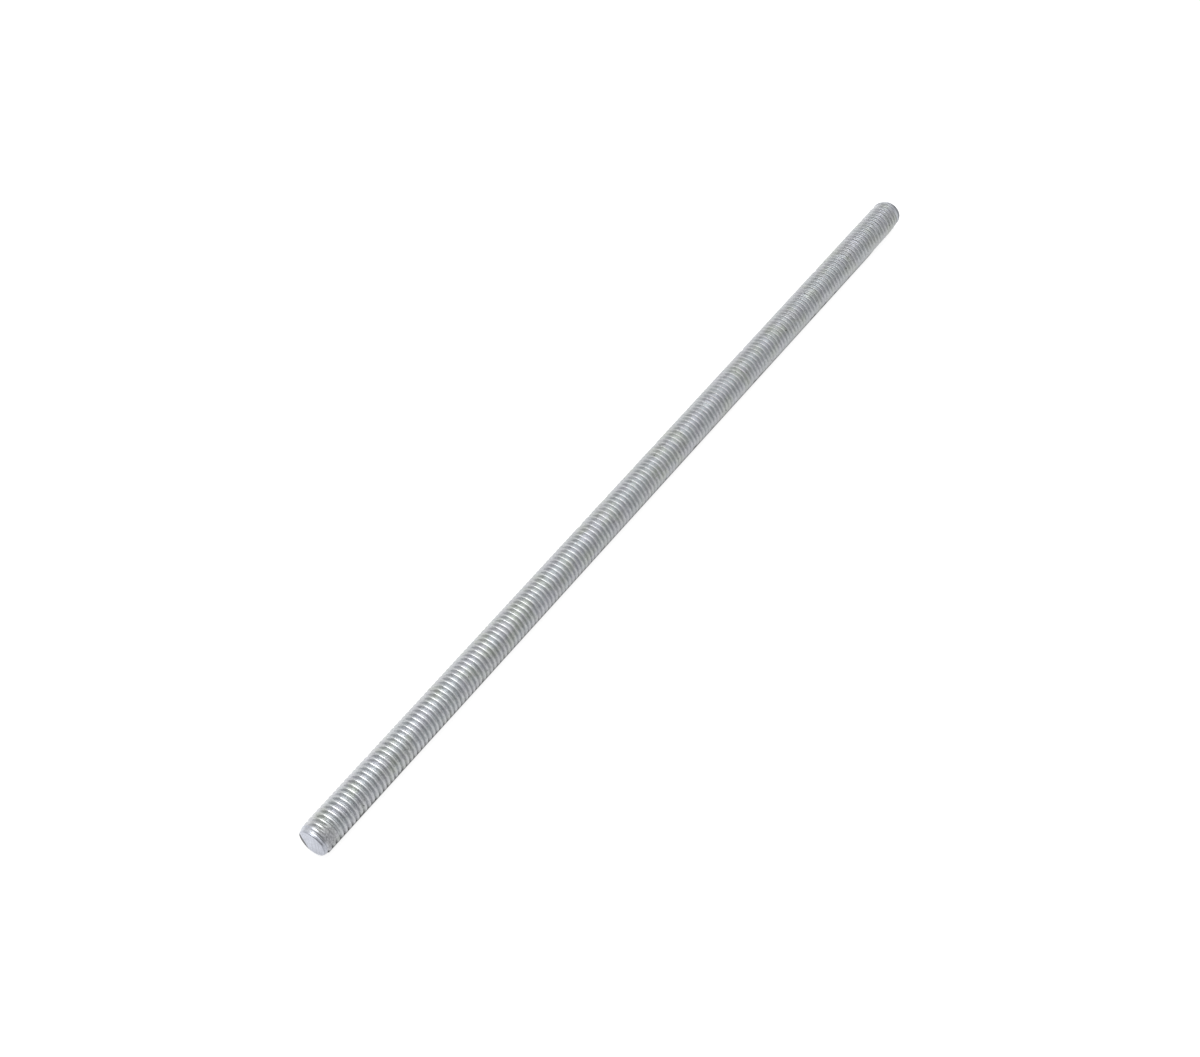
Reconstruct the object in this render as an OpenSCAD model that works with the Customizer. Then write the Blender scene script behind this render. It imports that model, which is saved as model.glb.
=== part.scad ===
// Threaded rod: one straight round bar with a right-hand metric thread over its whole
// length, a flat cut face at each end and a chamfer there that runs the thread in.
// The rod lies along +X, with the origin on its axis at mid-length. Sizes in millimetres.

/* [Rod] */
// Length over the two end faces
rod_length = 184; // [20:1:220]
// Diameter over the crests of the thread
major_d = 6; // [4:0.1:12]

/* [Thread] */
// Distance from one crest to the next
pitch = 1; // [0.8:0.05:1.75]
// Depth of the groove as a share of the pitch, where 0.613 is the standard thread
groove_share = 0.613; // [0.45:0.001:0.65]
// Where the groove's bottom meets the near face, as an angle round the rod from straight down
thread_start = 306; // [0:1:359]

/* [Near end] */
// How far the chamfer cuts in from the crests, measured on the radius
near_depth = 0.3; // [0.05:0.05:0.8]
// Angle between this chamfer and the axis of the rod
near_angle = 22; // [10:1:60]
// How far off the rod's axis the chamfer was turned
near_shift = 0.06; // [0:0.01:0.2]
// Side that it was shifted to, where it cuts least, as an angle from straight down
near_side = 295; // [0:5:355]

/* [Far end] */
// How far the chamfer cuts in from the crests, measured on the radius
chamfer_depth = 0.4; // [0.2:0.05:1.2]
// Angle between the chamfer and the axis of the rod
chamfer_angle = 30; // [20:1:60]
// How far cropping the bar drew its far end in, on the side that gave way most
draw_depth = 0.3; // [0:0.05:0.4]
// Length of the far end that is drawn in
draw_length = 4; // [1:0.5:10]
// Side that is drawn in most, as an angle round the rod from straight down
draw_side = 295; // [0:5:355]

/* [Detail] */
// Most flat triangles that the thread may be drawn with
facet_budget = 12000; // [4000:500:12500]
// Most sides of one turn on a short rod
max_sides = 48; // [16:4:72]

/* [Hidden] */

major_r = major_d / 2;
root_r = major_r - groove_share * pitch;

// The screw is drawn from one to two turns before the near face, so that its groove meets that
// face where it should, and to a turn or more past the far face
lead_in = pitch * (1 + thread_start / 360);
turns = ceil((lead_in + rod_length) / pitch);
sides = min(max_sides, 2 * floor(facet_budget / (4 * turns) / 2));
last = sides * turns;
drawn_height = pitch * (turns + 1);
far_height = lead_in + rod_length;

// How much smaller the radius is where the end is drawn in: it grows evenly towards the far
// end, and falls off round the rod as a raised cosine from the side that gave way
function draw(angle, height) =
    let (along = max(0, 1 - (far_height - height) / draw_length))
    draw_depth * min(1, along) * (1 + cos(angle - draw_side)) / 2;

// A point of a helix about +Z that climbs one pitch for each `sides` stations
function helix(station, r, lift) =
    let (
        turn = station / sides,
        height = pitch * (turn + lift),
        drawn_r = r - draw(360 * turn, height)
    )
    [drawn_r * cos(360 * turn), drawn_r * sin(360 * turn), height];

// The groove's bottom line, from the start of the first turn to a turn past the last crest,
// then the crest line half a pitch above it, then the two ends of the axis
root_line = [for (s = [0:last + sides]) helix(s, root_r, 0)];
crest_line = [for (s = [0:last]) helix(s, major_r, 0.5)];
axis_ends = [[0, 0, 0], [0, 0, drawn_height]];

function root(s) = s;
function crest(s) = len(root_line) + s;
foot = len(root_line) + len(crest_line);
head = foot + 1;

function strip(a, b) = [[a[0], b[0], b[1]], [a[0], b[1], a[1]]];

// A screw of sharp ridges about +Z, closed by a helical ramp and a step at each end
module screw() {
    rising_flank = [for (s = [0:last - 1])
        each strip([root(s), root(s + 1)], [crest(s), crest(s + 1)])];
    falling_flank = [for (s = [0:last - 1])
        each strip([crest(s), crest(s + 1)], [root(s + sides), root(s + sides + 1)])];
    foot_ramp = [for (s = [0:sides - 1]) [foot, root(s), root(s + 1)]];
    foot_step = [[foot, crest(0), root(0)], [foot, root(sides), crest(0)]];
    head_ramp = [for (s = [last:last + sides - 1]) [head, root(s + 1), root(s)]];
    head_step = [[head, root(last), crest(last)], [head, crest(last), root(last + sides)]];
    polyhedron(concat(root_line, crest_line, axis_ends),
        concat(rising_flank, falling_flank, foot_ramp, foot_step, head_ramp, head_step));
}

// The bar that the ends are cut to: flat faces, chamfers, and a wall clear of the crests. The
// near chamfer is a cone about its own shifted axis
module blank() {
    wall_r = major_r + pitch / 4;
    face_r = major_r - chamfer_depth;
    half = rod_length / 2;
    chamfer_length = (wall_r - face_r) / tan(chamfer_angle);
    near_face_r = major_r - near_depth;
    clear_r = wall_r + near_shift + pitch / 4;
    near_length = (clear_r - near_face_r) / tan(near_angle);
    intersection() {
        rotate_extrude($fn = 96)
            polygon([
                [0, -half - pitch], [wall_r, -half - pitch], [wall_r, half - chamfer_length],
                [face_r, half], [0, half]
            ]);
        translate([near_shift * cos(near_side), near_shift * sin(near_side), -half])
            rotate_extrude($fn = 96)
                polygon([
                    [0, 0], [near_face_r, 0], [clear_r, near_length],
                    [clear_r, rod_length + pitch], [0, rod_length + pitch]
                ]);
    }
}

module threaded_rod() {
    color([0.72, 0.73, 0.74])
        rotate([0, 90, 0])
            intersection() {
                translate([0, 0, -rod_length / 2 - lead_in])
                    screw();
                blank();
            }
}

threaded_rod();
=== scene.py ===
"""A zinc-plated threaded rod, lying on a white table under a soft box and a fill panel.

The rod lies along +X with its middle at the origin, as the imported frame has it. Its thread is
one surface: the outline of a ridge, carried round and along the bar as a right-hand helix.
Everything is in metres. An angle round the rod is measured about +X from straight down. The
near end is the one at -X.
"""

import math

import bpy
import numpy as np
from mathutils import Matrix, Vector


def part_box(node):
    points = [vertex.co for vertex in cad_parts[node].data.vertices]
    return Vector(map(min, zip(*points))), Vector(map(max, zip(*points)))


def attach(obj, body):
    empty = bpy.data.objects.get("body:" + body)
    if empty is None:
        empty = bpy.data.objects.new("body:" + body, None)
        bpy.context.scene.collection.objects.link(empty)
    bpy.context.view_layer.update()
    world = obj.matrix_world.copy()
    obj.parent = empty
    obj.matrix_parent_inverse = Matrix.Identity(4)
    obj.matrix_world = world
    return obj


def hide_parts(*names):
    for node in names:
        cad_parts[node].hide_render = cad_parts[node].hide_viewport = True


MM = 0.001

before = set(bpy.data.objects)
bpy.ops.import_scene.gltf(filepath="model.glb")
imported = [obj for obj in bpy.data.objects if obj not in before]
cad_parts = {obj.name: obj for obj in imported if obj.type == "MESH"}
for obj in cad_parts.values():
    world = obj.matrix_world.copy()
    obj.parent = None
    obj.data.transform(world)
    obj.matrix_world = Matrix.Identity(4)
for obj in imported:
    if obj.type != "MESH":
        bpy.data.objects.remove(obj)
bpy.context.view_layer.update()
low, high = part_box("threaded_rod")

# ---- The rod's sizes ----------------------------------------------------------------------

LENGTH = high.x - low.x
CREST_R = (high.z - low.z) / 2
PITCH = 1 * MM
DEPTH = 0.613 * PITCH
THREAD_START = math.radians(306)
FLANK_TILT = math.radians(62.5)
CREST_FLAT = 0.31 * PITCH
CREST_ROUND = 0.06 * MM
# The groove arc that meets flanks which start from the edges of a sharp flat crest
GROOVE_ROUND = (PITCH - CREST_FLAT) / 2 * math.tan(FLANK_TILT) - DEPTH
GROOVE_R = CREST_R - DEPTH

NEAR_DEPTH = 0.36 * MM
NEAR_ANGLE = math.radians(19)
NEAR_SHIFT = 0.11 * MM
NEAR_SIDE = math.radians(295)
NEAR_ROUND = 0.14 * MM
# The facet where the last of the bar broke off, past a chord of the near face. Painted shade
# makes it nearly black.
BREAK_SIDE = math.radians(65)
BREAK_AT = 1.74 * MM
BREAK_TILT = math.radians(4)
# Painted shade in two thin rings: its side, and how far each is behind the near face
PAINTED_SHADE_SIDE = math.radians(219)
SHADE_LINE_BY_FACE = 0.18 * MM
SHADE_LINE_BEHIND_CHAMFER = 0.94 * MM
FAR_DEPTH = 0.4 * MM
FAR_ANGLE = math.radians(30)
FAR_SHIFT = 0.08 * MM
FAR_ROUND = 0.06 * MM
CHAMFER_BLEND = 0.15 * MM
DRAW_DEPTH = 0.3 * MM
DRAW_LENGTH = 4 * MM
DRAW_SIDE = math.radians(295)
WORN_SIDE = math.radians(236)

# Waves and nicks of the crests, as rolling and handling leave them
WAVE = 0.01 * MM
WAVES_PER_TURN = 13
NICKS = 140

# Stations to a turn of the thread, and rings over each rim and across each end face
STEPS = 40
RIM_RINGS = 5
FACE_RINGS = 14
SHARES = ("crest", "cut", "worn", "painted_shade")
SEED = 7

# Where the strip of painted contact shadow on the table starts, and where it starts to taper off
STRIP_START = 1.7 * MM - LENGTH / 2
STRIP_END = LENGTH / 2 - 12 * MM


# ---- The thread's surface -----------------------------------------------------------------


def soft_least(a, b, blend):
    """The smaller of a and b, with a parabola `blend` wide where the two cross."""
    share = np.clip(0.5 + 0.5 * (b - a) / blend, 0, 1)
    return b + (a - b) * share - blend * share * (1 - share)


def smooth_step(x, start, end):
    """0 before start, 1 after end, and 3t^2 - 2t^3 between them."""
    t = np.clip((x - start) / (end - start), 0, 1)
    return t * t * (3 - 2 * t)


def outline():
    """The thread's outline over one pitch, from groove bottom to groove bottom.

    Half of it is laid out first, as distances from the ridge's middle line and radii: a flat
    crest, a corner arc about (flat edge, crest - round), a straight flank, and a groove arc
    about (half a pitch, groove + round). Both arcs turn by the flank's tilt to meet it, and it
    has one point half-way. The other half is its mirror image.
    """
    tilts = FLANK_TILT * np.array([0, 0.5, 1])
    corner = CREST_FLAT / 2 - CREST_ROUND * math.tan(FLANK_TILT / 2)
    crest_way = corner + CREST_ROUND * np.sin(tilts)
    crest_r = CREST_R - CREST_ROUND * (1 - np.cos(tilts))
    groove_way = PITCH / 2 - GROOVE_ROUND * np.sin(tilts[::-1])
    groove_r = GROOVE_R + GROOVE_ROUND * (1 - np.cos(tilts[::-1]))
    flank_way = (crest_way[-1] + groove_way[0]) / 2
    flank_r = (crest_r[-1] + groove_r[0]) / 2
    way = np.concatenate([crest_way, [flank_way], groove_way])
    radius = np.concatenate([crest_r, [flank_r], groove_r])
    rises = 0.5 + np.concatenate([-way[::-1], way[:-1]]) / PITCH
    return rises, np.concatenate([radius[::-1], radius[:-1]])


def ridge(rise):
    """Radius of the outline at any rise from 0 to 1, straight between its points."""
    rises, radius = outline()
    return np.interp(rise, rises, radius, period=1)


def wander(rng, turns, per_turn):
    """A smooth random line along the thread: random heights joined by cubic easing."""
    place = turns * per_turn
    heights = rng.uniform(-1, 1, int(place.max()) + 2)
    left = np.floor(place).astype(int)
    share = smooth_step(place - left, 0, 1)
    return heights[left] * (1 - share) + heights[left + 1] * share


def crest_damage(rng, turns, nicks):
    """How deep the crest is nicked along the thread: bell-shaped dents at random turns."""
    depth = np.zeros_like(turns)
    for _ in range(nicks):
        at = rng.uniform(0, turns.max())
        half_width = rng.uniform(0.02, 0.05)
        bite = rng.uniform(0.05, 0.15) * MM
        depth = np.maximum(depth, bite * np.exp(-(((turns - at) / half_width) ** 2)))
    return depth


def worn_share(x, angle):
    """How far a patch on one side, from the second turn to the fourth, is worn down."""
    from_near = (x + LENGTH / 2) / PITCH
    side = smooth_step(np.cos(angle - WORN_SIDE), 0.55, 0.9)
    past_first = smooth_step(from_near, 0.8, 1.3)
    return side * past_first * (1 - smooth_step(from_near, 2.6, 4.8))


def smeared_share(x):
    """How far cutting the bar smeared its end turns and filled their grooves."""
    from_near = (x + LENGTH / 2) / PITCH
    to_far = (LENGTH / 2 - x) / PITCH
    near = 0.75 * (1 - smooth_step(from_near, 0.5, 1.4))
    far = 0.9 * (1 - smooth_step(to_far, 0.3, 1.9))
    return near + far


def chamfer_radius(x, angle):
    """Radius of the chamfers. They are off-centre, which a cosine round the rod stands for."""
    near_face_r = CREST_R - NEAR_DEPTH + NEAR_SHIFT * np.cos(angle - NEAR_SIDE)
    near_r = near_face_r + (x + LENGTH / 2).clip(0) * math.tan(NEAR_ANGLE)
    far_face_r = CREST_R - FAR_DEPTH + FAR_SHIFT * np.cos(angle - DRAW_SIDE)
    far_r = far_face_r + (LENGTH / 2 - x).clip(0) * math.tan(FAR_ANGLE)
    return np.minimum(near_r, far_r)


def broken_back(angle, radius):
    """How far back the near face lies: a plane through a chord of it, tilted back past there."""
    past_chord = (radius * np.cos(angle - BREAK_SIDE) - BREAK_AT).clip(0)
    return past_chord * math.tan(BREAK_TILT)


def painted_shade_share(x, angle):
    """How dark two thin rings of painted shade are: bell curves along the rod, on one side of it.
    """
    from_face = x + LENGTH / 2
    side = smooth_step(np.cos(angle - PAINTED_SHADE_SIDE), 0.87, 0.97)
    by_face = 1.2 * np.exp(-(((from_face - SHADE_LINE_BY_FACE) / (0.09 * MM)) ** 2))
    behind = np.exp(-(((from_face - SHADE_LINE_BEHIND_CHAMFER) / (0.16 * MM)) ** 2))
    return side * (by_face + behind)


def turned_share(x, angle, clean):
    """1 where a chamfer cut into the clean thread, and 0 where it passed over it."""
    return smooth_step(clean - chamfer_radius(x, angle), -0.05 * MM, 0.05 * MM)


def rod_radius(x, angle, radius, crest, rng, turns):
    """The finished radius: the clean ridge, then its rolling marks, worn ends and chamfers."""
    radius = radius - WAVE * (1 + wander(rng, turns, WAVES_PER_TURN)) * crest
    radius = radius - crest_damage(rng, turns, NICKS) * crest
    radius = radius + (CREST_R - 0.2 * DEPTH - radius) * 0.85 * worn_share(x, angle)
    radius = radius + (CREST_R - 0.15 * DEPTH - radius).clip(0) * smeared_share(x)

    # The far end is drawn in evenly towards its face, by a raised cosine round the rod
    along = np.clip(1 - (LENGTH / 2 - x) / DRAW_LENGTH, 0, 1)
    radius = radius - DRAW_DEPTH * along * (1 + np.cos(angle - DRAW_SIDE)) / 2
    return soft_least(radius, chamfer_radius(x, angle), CHAMFER_BLEND)


def polish(x, angle, clean):
    """How bare the metal is: 0 in a groove, 1 on a crest, and up to 0.85 where it was cut."""
    crest = (clean - GROOVE_R) / DEPTH
    bare = np.maximum(turned_share(x, angle, clean), worn_share(x, angle))
    bare = bare.clip(smeared_share(x))
    return crest + (0.85 - crest).clip(0) * bare


def thread_grid():
    """The helix as arrays over stations and outline points: place, radius, shares and way.

    A station turns by 1/STEPS of a turn and climbs by PITCH/STEPS; an outline point adds its
    own rise. Three turns more than the rod holds let each end be cut square through the thread.
    """
    rng = np.random.default_rng(SEED)
    stations = STEPS * (round(LENGTH / PITCH) + 3)
    turns = np.arange(stations + 1)[:, None] / STEPS
    rises, radius = (part[None, :] for part in outline())
    angle = math.tau * turns + 0 * rises
    x = -LENGTH / 2 + PITCH * (turns + rises - 1 - THREAD_START / math.tau)
    clean = radius + 0 * turns
    crest = (clean - GROOVE_R) / DEPTH
    radius = rod_radius(x, angle, clean, crest, rng, turns + 0 * rises)
    cut = 0.8 * np.maximum(turned_share(x, angle, clean), smeared_share(x))
    shares = (polish(x, angle, clean), cut, worn_share(x, angle), painted_shade_share(x, angle))
    return x, angle, radius, shares, turns, rises


def ring(x, angle, radius):
    """Points round the rod's axis at the given places."""
    return np.stack([x + 0 * angle, radius * np.sin(angle), -radius * np.cos(angle)], -1)


def end_rings(side, rim_x, rim_angle, rounding):
    """One end of the rod: rings over its rim and across its face, then the face's middle point.

    The rim is a quarter circle of radius `rounding`, from the thread's cut at rim_x to the
    face. The rings of the face shrink evenly to its middle. Gives the points, the four shares
    and the number of rings.
    """
    rise = ((rim_x + LENGTH / 2) / PITCH - (rim_angle - THREAD_START) / math.tau) % 1
    clean = ridge(rise)
    rng = np.random.default_rng(SEED)
    rim_r = rod_radius(rim_x, rim_angle, clean, 0 * rise, rng, 0 * rise)
    tilts = math.pi / 2 * np.arange(RIM_RINGS + 1)[:, None] / RIM_RINGS
    rims_x = rim_x + side * rounding * np.sin(tilts)
    rims_r = rim_r - rounding * (1 - np.cos(tilts))
    face_r = (1 - np.arange(1, FACE_RINGS)[:, None] / FACE_RINGS) * rims_r[-1]
    face_x = side * LENGTH / 2 + (side < 0) * broken_back(rim_angle, face_r)
    rings_r = np.vstack([rims_r, face_r])
    points = ring(np.vstack([rims_x, face_x]), rim_angle, rings_r).reshape(-1, 3)
    middle = (side * LENGTH / 2, 0, 0)

    # Past the first ring the metal is bare, and from the third ring on it is a cut face
    nothing = 0 * rings_r
    crest = 1 + nothing
    crest[0] = polish(rim_x, rim_angle, clean)
    cut = (0.8 + 0.1 * np.arange(len(rings_r))[:, None] + nothing).clip(0, 1)
    # Painted shade: the near rim's rounding is darkened, most at its middle, on top of the two
    # rings
    rim_painted_shade = painted_shade_share(rims_x, rim_angle) + (side < 0) * 0.4 * np.sin(2 * tilts)
    painted_shade = np.vstack([rim_painted_shade, 0 * face_x])
    on_rings = (crest, cut, nothing, painted_shade)
    at_middle = (1, 1, 0, 0)
    shares = [np.append(values, last) for values, last in zip(on_rings, at_middle)]
    return np.vstack([points, middle]), shares, len(rings_r)


def end_faces(side, first, rings):
    """Quads between an end's rings and a fan round its middle point, both facing outward."""
    ids = first + np.arange(rings * STEPS).reshape(rings, STEPS)
    turned = np.roll(ids, -1, axis=1)
    band = np.stack([ids[:-1], turned[:-1], turned[1:], ids[1:]], -1).reshape(-1, 4)
    middle = np.full(STEPS, first + rings * STEPS)
    fan = np.stack([ids[-1], turned[-1], middle], -1)
    return [part[:, ::-1] if side < 0 else part for part in (band, fan)]


def thread_faces(owner, turns, rises):
    """Faces of the helix, with the way along and across the thread at each of their corners.

    A quad joins two stations and two outline points, and the last outline point's neighbour is
    the first one of the following turn. A quad whose corners meet at a rim point loses them:
    with three corners left it is a triangle, and with fewer it is dropped.
    """
    here = owner[:-STEPS]
    over = np.hstack([owner[:-STEPS, 1:], owner[STEPS:, :1]])
    quads = np.stack([here[:-1], here[1:], over[1:], over[:-1]], -1).reshape(-1, 4)
    along = math.tau * CREST_R * turns[:-STEPS]
    across = np.append(rises, 1) * PITCH
    shape = (len(along) - 1, owner.shape[1], 4)
    corner_u = np.stack([along[:-1], along[1:], along[1:], along[:-1]], -1)
    corner_v = np.stack([across[:-1], across[:-1], across[1:], across[1:]], -1)
    corners = [np.broadcast_to(part, shape).reshape(-1, 4) for part in (corner_u, corner_v)]
    way = np.stack(corners, -1)

    repeat = quads == np.roll(quads, 1, axis=1)
    kept = (~repeat).sum(1)
    whole = kept == 4
    three = kept == 3
    keep = ~repeat[three]
    faces = [quads[whole], quads[three][keep].reshape(-1, 3)]
    return faces, [way[whole].reshape(-1, 2), way[three][keep]]


def build_rod():
    """One closed mesh: the helical grid, cut at both ends, with a rounded rim and a flat face.

    Grid points past a cut slide to the rim point at their own angle.
    """
    x, angle, radius, shares, turns, rises = thread_grid()
    rim_angle = math.tau * np.arange(STEPS) / STEPS
    near_face_r = CREST_R - NEAR_DEPTH - NEAR_ROUND
    near_cut = NEAR_ROUND - LENGTH / 2 + broken_back(rim_angle, near_face_r)
    far_cut = LENGTH / 2 - FAR_ROUND + 0 * rim_angle

    points = ring(x, angle, radius).reshape(-1, 3)
    shares = [values.ravel() for values in shares]
    owner = np.arange(x.size).reshape(x.shape)
    station = np.arange(len(x))[:, None] % STEPS + 0 * owner
    caps = []
    for side, rim_x, rounding in ((-1, near_cut, NEAR_ROUND), (1, far_cut, FAR_ROUND)):
        beyond = side * x > side * rim_x[station]
        owner = np.where(beyond, len(points) + station, owner)
        end_points, end_shares, rings = end_rings(side, rim_x, rim_angle, rounding)
        caps += end_faces(side, len(points), rings)
        points = np.vstack([points, end_points])
        shares = [np.append(all_of, more) for all_of, more in zip(shares, end_shares)]

    faces, way = thread_faces(owner, turns, rises)
    faces += caps
    way += [points[part.ravel()][:, 1:] for part in caps]

    corners = np.concatenate([part.ravel() for part in faces])
    used, corners = np.unique(corners, return_inverse=True)
    corners = corners.ravel().tolist()
    sizes = np.concatenate([np.full(len(part), part.shape[1]) for part in faces])
    ends = np.cumsum(sizes)
    mesh = bpy.data.meshes.new("threaded_rod_skin")
    mesh.from_pydata(points[used], [], [corners[a:b] for a, b in zip(ends - sizes, ends)])
    mesh.uv_layers.new(name="thread_way").data.foreach_set("uv", np.vstack(way).ravel())
    for name, values in zip(SHARES, shares):
        layer = mesh.attributes.new(name, "FLOAT", "POINT")
        layer.data.foreach_set("value", values[used].astype(np.float32))
    mesh.shade_smooth()
    mesh.validate()
    rod = bpy.data.objects.new("rod_with_thread", mesh)
    bpy.context.scene.collection.objects.link(rod)
    return rod


# ---- Materials ----------------------------------------------------------------------------


class Wire:
    """An output socket. Arithmetic on it adds Math nodes to the same material."""

    def __init__(self, paint, socket):
        self.paint = paint
        self.socket = socket

    def math(self, operation, *values):
        """A Math node on the given wires and numbers."""
        sockets = dict(enumerate(values))
        return self.paint.node("ShaderNodeMath", {"operation": operation}, sockets)

    def __add__(self, other):
        return self.math("ADD", self, other)

    def __sub__(self, other):
        return self.math("SUBTRACT", self, other)

    def __mul__(self, other):
        return self.math("MULTIPLY", self, other)

    def __rsub__(self, other):
        return self.math("SUBTRACT", other, self)

    def __pow__(self, other):
        return self.math("POWER", self, other)

    __radd__ = __add__
    __rmul__ = __mul__

    def clear(self, start, end):
        """0 below start and 1 above end, with a smooth rise between."""
        settings = {"interpolation_type": "SMOOTHSTEP"}
        sockets = {"Value": self, "From Min": start, "From Max": end}
        return self.paint.node("ShaderNodeMapRange", settings, sockets)


class Paint:
    """A material's node tree, with one method that adds any node."""

    def __init__(self, owner):
        owner.use_nodes = True
        self.tree = owner.node_tree
        self.tree.nodes.clear()

    def node(self, kind, settings=None, sockets=None, output=0):
        """Adds a node, sets its properties and then its sockets, and gives one of its outputs."""
        made = self.tree.nodes.new(kind)
        for name, value in (settings or {}).items():
            setattr(made, name, value)
        for name, value in (sockets or {}).items():
            if isinstance(value, Wire):
                self.tree.links.new(value.socket, made.inputs[name])
            else:
                made.inputs[name].default_value = value
        return Wire(self, made.outputs[output]) if made.outputs else None

    def vector(self, operation, a, b=(0, 0, 0), output=0):
        """A Vector Math node. Output 1 is the number that a dot product gives."""
        return self.node("ShaderNodeVectorMath", {"operation": operation}, {0: a, 1: b}, output)

    def place(self):
        """Where the surface is, in the object's own coordinates."""
        return self.node("ShaderNodeTexCoord", {}, {}, "Object")

    def axis(self, where, number):
        """One coordinate of a place: 0 is along X, 1 along Y and 2 along Z."""
        return self.node("ShaderNodeSeparateXYZ", {}, {0: where}, number)

    def mix(self, share, a, b, blend="MIX"):
        """Colour a to colour b by share. Sockets 6 and 7 are the Mix node's two colours."""
        settings = {"data_type": "RGBA", "blend_type": blend}
        return self.node("ShaderNodeMix", settings, {0: share, 6: a, 7: b}, 2)

    def noise(self, where, size, detail=2.0, roughness=0.5):
        """Cloudy noise from 0 to 1, with patches of about the given size in metres."""
        sockets = {"Vector": where, "Scale": 1 / size, "Detail": detail, "Roughness": roughness}
        return self.node("ShaderNodeTexNoise", {}, sockets)

    def attribute(self, name):
        """A number that the mesh holds at each of its points."""
        return self.node("ShaderNodeAttribute", {"attribute_name": name}, {}, 2)


def grey(level):
    """An opaque grey: the same level three times."""
    return (level, level, level, 1)


def zinc_tint(paint, place, clouds, cut):
    """A cool grey with faint straw and lavender clouds over it, and bluer where it was cut."""
    cool = (0.50, 0.517, 0.53, 1)
    straw = (0.50, 0.517, 0.485, 1)
    lavender = (0.517, 0.517, 0.55, 1)
    face = (0.47, 0.49, 0.55, 1)
    other_clouds = paint.noise(paint.vector("ADD", place, (0.05, 0.02, 0.07)), 3 * MM, 3.0)
    tint = paint.mix(clouds.clear(0.45, 0.65) * 0.7, cool, straw)
    tint = paint.mix(other_clouds.clear(0.42, 0.62) * 0.6, tint, lavender)
    return paint.mix(cut, tint, face)


def on_broken_facet(paint, place, x, cut):
    """1 on the near face past the chord where the bar broke off, and 0 elsewhere."""
    on_near_face = cut.clear(0.85, 0.95) * (0 - x).clear(50 * MM, 60 * MM)
    side = (0, math.sin(BREAK_SIDE), -math.cos(BREAK_SIDE))
    towards_break = paint.vector("DOT_PRODUCT", place, side, 1)
    return on_near_face * towards_break.clear(BREAK_AT - 0.04 * MM, BREAK_AT + 0.06 * MM)


def zinc_plating():
    """Zinc on rolled steel, as a tint times a level, over small lumps.

    The grooves are duller than the crests, and painted a little paler, a painted lift of the
    shade in them. Cut faces have saw marks. The worn patch is dull and mottled, and a few pits
    are dark.
    Two thin rings and the near rim are darkened as painted shade, and the facet where the bar
    broke off is painted nearly black as painted shade.
    """
    material = bpy.data.materials.new("zinc_plating")
    paint = Paint(material)
    place = paint.place()
    x = paint.axis(place, 0)
    way = paint.node("ShaderNodeUVMap", {"uv_map": "thread_way"})
    crest, cut, worn, painted_shade = (paint.attribute(name) for name in SHARES)

    streaks = paint.noise(paint.vector("MULTIPLY", way, (0.12, 1, 1)), 0.12 * MM)
    clouds = paint.noise(place, 4 * MM, 3.0)
    lumps = paint.noise(place, 1.5 * MM)
    grain = paint.noise(place, 0.5 * MM)
    fine = paint.noise(place, 0.1 * MM)
    blotch = paint.noise(place, 0.3 * MM, 3.0, 0.65)
    saw_marks = paint.noise(paint.vector("MULTIPLY", place, (1, 1, 0.15)), 0.35 * MM, 3.0, 0.6)
    spacing = {"Vector": place, "Scale": 1 / (1.6 * MM)}
    from_pit = paint.node("ShaderNodeTexVoronoi", {"feature": "F1"}, spacing)
    pit = (1 - from_pit.clear(0.07, 0.16)) * clouds.clear(0.5, 0.62) * (1 - worn)

    shade = 0.72 + 0.32 * grain + 0.24 * lumps
    # Painted light: the grooves are painted paler, lifting the shade that falls in them
    painted_groove_light = 1 + 0.2 * (1 - crest) ** 2
    mottle = 1 + (0.7 + 0.9 * worn) * (blotch - 0.5) - 0.28 * worn
    marks = 1 + cut * 0.8 * (saw_marks - 0.5)
    # Painted shade: darker in the two thin rings and on the near rim
    shade_rings = 1 - painted_shade * (0.3 + 0.6 * blotch)
    level = shade * painted_groove_light * mottle * marks * shade_rings * (1 - 0.6 * pit)
    # Painted shade: the broken facet's colour is darkened to nearly black
    level = level * (1 - 0.9 * on_broken_facet(paint, place, x, cut))
    grey_level = paint.node("ShaderNodeCombineColor", {}, {0: level, 1: level, 2: level})
    colour = paint.mix(1.0, zinc_tint(paint, place, clouds, cut), grey_level, "MULTIPLY")

    roughness = 0.32 + 0.08 * (1 - crest) + 0.15 * (1 - crest) ** 4 + 0.2 * (grain - 0.5)
    roughness = roughness + 0.04 * (streaks - 0.5) + 0.2 * worn
    height = 0.7 * lumps + 0.18 * grain + 0.01 * fine + 0.01 * streaks - 0.12 * pit
    relief = {"Strength": 1.0, "Distance": 0.02 * MM, "Height": height}
    bump = paint.node("ShaderNodeBump", {}, relief)
    surface = {"Base Color": colour, "Roughness": roughness, "Metallic": 1.0, "Normal": bump}
    shader = paint.node("ShaderNodeBsdfPrincipled", {}, surface)
    paint.node("ShaderNodeOutputMaterial", {}, {"Surface": shader})
    return material


def ray(paint, kind):
    """1 on rays of one kind, as Light Path names it, and 0 on others."""
    path = paint.node("ShaderNodeLightPath")
    return Wire(paint, path.socket.node.outputs[kind])


def mirrored(paint):
    """1 for what is seen by way of metal or glass, and 0 otherwise."""
    return ray(paint, "Is Glossy Ray") + ray(paint, "Is Transmission Ray")


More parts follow.
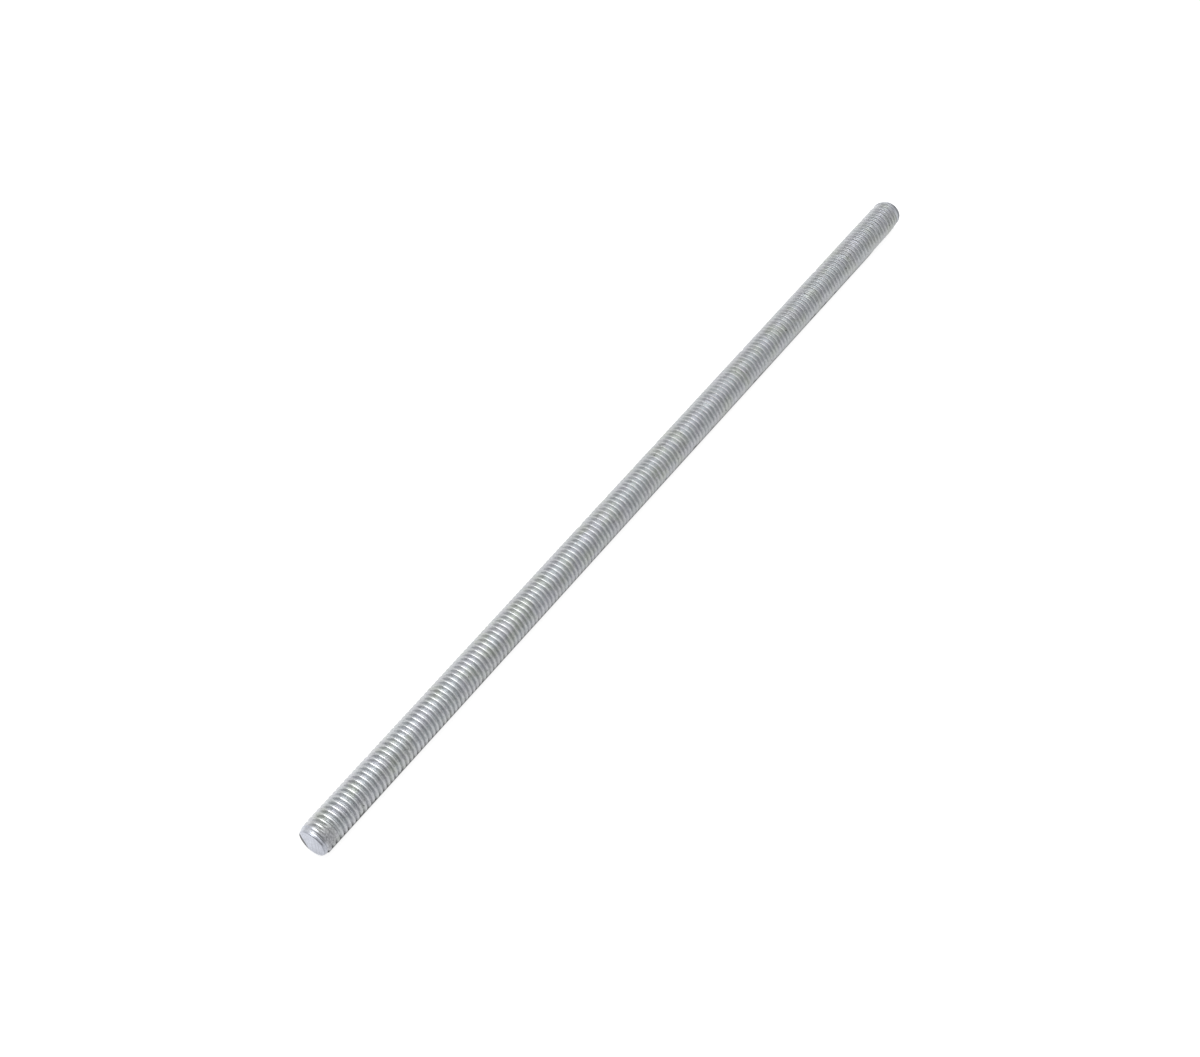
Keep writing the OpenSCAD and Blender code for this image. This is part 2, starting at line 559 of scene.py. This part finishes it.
def white_table():
    """Matt white paper, lifted to plain white where it is seen, apart from under the rod.

    The lift starts at the edge of a strip under the rod, which is a painted contact shadow: there
    the matt paper's own shading shows unlifted. The strip lies a little towards +Y, starts short
    of the near end and tapers off towards the far one. Metal sees painted shadow by the strip,
    and painted light that makes the paper paler towards +Y and the near end. Past the far end it
    sees painted shade on the -Y side and painted light on the +Y side.
    """
    material = bpy.data.materials.new("white_table")
    paint = Paint(material)
    place = paint.place()
    x = paint.axis(place, 0)
    y = paint.axis(place, 1)
    before_strip = x.math("MAXIMUM", STRIP_START - x, 0.0)
    past_strip = x.math("MAXIMUM", x - STRIP_END, 0.0)
    off_middle = y - 0.35 * CREST_R
    from_strip = ((3.5 * before_strip + 0.25 * past_strip) ** 2 + off_middle ** 2) ** 0.5
    # Painted contact shadow: the camera's lift is withheld inside the strip
    outside_painted_shadow = from_strip.clear(0.98 * CREST_R, 1.05 * CREST_R)
    in_camera = ray(paint, "Is Camera Ray") * outside_painted_shadow * 0.84

    # Painted light on the paper that metal sees: paler towards the near end and towards +Y
    towards_near = 0.14 * (0 - x).clear(20 * MM, 110 * MM)
    towards_back = 0.26 * y.clear(-6 * MM, 2 * MM)
    # Painted shadow in what metal sees: the paper is darker by the strip
    out_of_painted_shadow = 0.15 + 0.85 * from_strip.clear(CREST_R, 1.5 * CREST_R)
    # Painted shade and light past the far end: darker on the -Y side, paler on the +Y side
    past_end = x.clear(LENGTH / 2, LENGTH / 2 + 4 * MM)
    off_the_end = 1 + past_end * (1.3 * y.clear(0.5 * MM, 4 * MM) - 0.8)
    in_metal = (0.56 + towards_near + towards_back) * out_of_painted_shadow * off_the_end
    strength = in_camera + mirrored(paint) * in_metal

    matt = paint.node("ShaderNodeBsdfDiffuse", {}, {"Color": grey(0.3)})
    lift = paint.node("ShaderNodeEmission", {}, {"Color": grey(1), "Strength": strength})
    both = paint.node("ShaderNodeAddShader", {}, {0: matt, 1: lift})
    paint.node("ShaderNodeOutputMaterial", {}, {"Surface": both})
    return material


# ---- The studio ---------------------------------------------------------------------------

CAMERA_AZIMUTH = math.radians(-54.9)
CAMERA_ELEVATION = math.radians(50.24)
CAMERA_DISTANCE = 0.37876
CAMERA_AIM = Vector((-0.01161, -0.00010, 0))
CAMERA_LENS_MM = 63


def towards(azimuth, elevation):
    """The unit vector from the rod to a viewer at that azimuth and elevation."""
    flat = math.cos(elevation)
    return Vector((math.sin(azimuth) * flat, -math.cos(azimuth) * flat, math.sin(elevation)))


def stand_camera():
    """A level camera that looks at CAMERA_AIM from CAMERA_DISTANCE away."""
    camera = bpy.data.objects.new("camera", bpy.data.cameras.new("camera"))
    bpy.context.scene.collection.objects.link(camera)
    back = towards(CAMERA_AZIMUTH, CAMERA_ELEVATION)
    camera.location = CAMERA_AIM + back * CAMERA_DISTANCE
    camera.rotation_euler = (-back).to_track_quat("-Z", "Y").to_euler()
    camera.data.lens = CAMERA_LENS_MM
    camera.data.sensor_width = 36
    camera.data.clip_start = 0.01
    camera.data.clip_end = 20
    bpy.context.scene.camera = camera


def hang_soft_box(name, direction, distance, width, length, power):
    """An area light that faces the rod's middle, with its length along +Y as near as can be."""
    lamp = bpy.data.objects.new(name, bpy.data.lights.new(name, "AREA"))
    bpy.context.scene.collection.objects.link(lamp)
    lamp.data.shape = "RECTANGLE"
    lamp.data.size = width
    lamp.data.size_y = length
    lamp.data.energy = power
    away = Vector(direction).normalized()
    across = Vector((0, 1, 0)).cross(away).normalized()
    lamp.location = away * distance
    lamp.rotation_euler = Matrix((across, away.cross(across), away)).transposed().to_euler()


def plane(name, corners, material):
    """One flat face with four corners, which is staging and no part of the rod."""
    mesh = bpy.data.meshes.new(name)
    mesh.from_pydata(corners, [], [(0, 1, 2, 3)])
    mesh.materials.append(material)
    made = bpy.data.objects.new(name, mesh)
    bpy.context.scene.collection.objects.link(made)
    return made


def lay_table():
    """A square table top at the height of the rod's lowest point."""
    reach = 3.0
    z = low.z
    corners = [(-reach, -reach, z), (reach, -reach, z), (reach, reach, z), (-reach, reach, z)]
    plane("table", corners, white_table())


def raise_dome(darker):
    """A white dome round the rod that only metal sees, a little darker in some directions.

    Each darker place is a direction, a fall, and the cosines of the angles from it where the
    fall starts and where it is whole. The level is 0.95 times 1 - fall * rise for each.
    """
    radius = 1.6
    rings = 24
    steps = 48
    below_horizon = math.radians(105)
    tilt = below_horizon * np.arange(1, rings + 1)[:, None] / rings
    turn = math.tau * np.arange(steps)[None, :] / steps
    parts = (np.sin(tilt) * np.cos(turn), np.sin(tilt) * np.sin(turn), np.cos(tilt) + 0 * turn)
    points = radius * np.stack(parts, -1).reshape(-1, 3)
    here = np.arange((rings - 1) * steps).reshape(rings - 1, steps)
    ahead = np.roll(here, -1, axis=1)
    quads = np.stack([here, ahead, ahead + steps, here + steps], -1).reshape(-1, 4)
    mesh = bpy.data.meshes.new("dome")
    mesh.from_pydata(points, [], quads.tolist() + [list(range(steps))])

    material = bpy.data.materials.new("dome")
    paint = Paint(material)
    way = paint.vector("NORMALIZE", paint.place())
    level = 0.95
    for direction, fall, edge, core in darker:
        facing = paint.vector("DOT_PRODUCT", way, Vector(direction).normalized(), 1)
        level = level * (1 - fall * facing.clear(edge, core))
    glow = paint.node("ShaderNodeEmission", {}, {"Color": grey(1), "Strength": level})
    paint.node("ShaderNodeOutputMaterial", {}, {"Surface": glow})
    mesh.materials.append(material)
    dome = bpy.data.objects.new("dome", mesh)
    bpy.context.scene.collection.objects.link(dome)
    dome.visible_camera = False
    dome.visible_diffuse = False


def light_world():
    """White where it is seen, and a plain soft level as light."""
    world = bpy.data.worlds.new("studio")
    bpy.context.scene.world = world
    paint = Paint(world)
    strength = 0.65 + 0.35 * (ray(paint, "Is Camera Ray") + mirrored(paint))
    sky = paint.node("ShaderNodeBackground", {}, {"Color": grey(1), "Strength": strength})
    paint.node("ShaderNodeOutputWorld", {}, {"Surface": sky})


# ---- Putting it together ------------------------------------------------------------------

bpy.context.scene.view_settings.view_transform = "Standard"
stand_camera()
light_world()
lay_table()
# Darker parts of the dome, each as raise_dome takes it
behind_viewer = ((-0.98, 0, 0.14), 0.82, 0.74, 0.94)
beyond_rod = ((0.65, -0.76, 0.06), 0.5, 0.76, 0.97)
over_far_end = ((0.78, 0.1, 0.52), 0.45, 0.7, 0.97)
beyond_far_end = ((1, 0, 0), 0.6, 0.85, 0.97)
raise_dome([behind_viewer, beyond_rod, over_far_end, beyond_far_end])
hang_soft_box(
    "soft_box", (0.10, 0.18, 0.97), distance=1.2, width=0.75, length=0.95, power=7.9
)
hang_soft_box(
    "fill_panel", (0.30, -0.34, 0.89), distance=1.25, width=0.8, length=0.8, power=1.2
)

rod = build_rod()
rod.data.materials.append(zinc_plating())
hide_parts("threaded_rod")
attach(rod, "root")
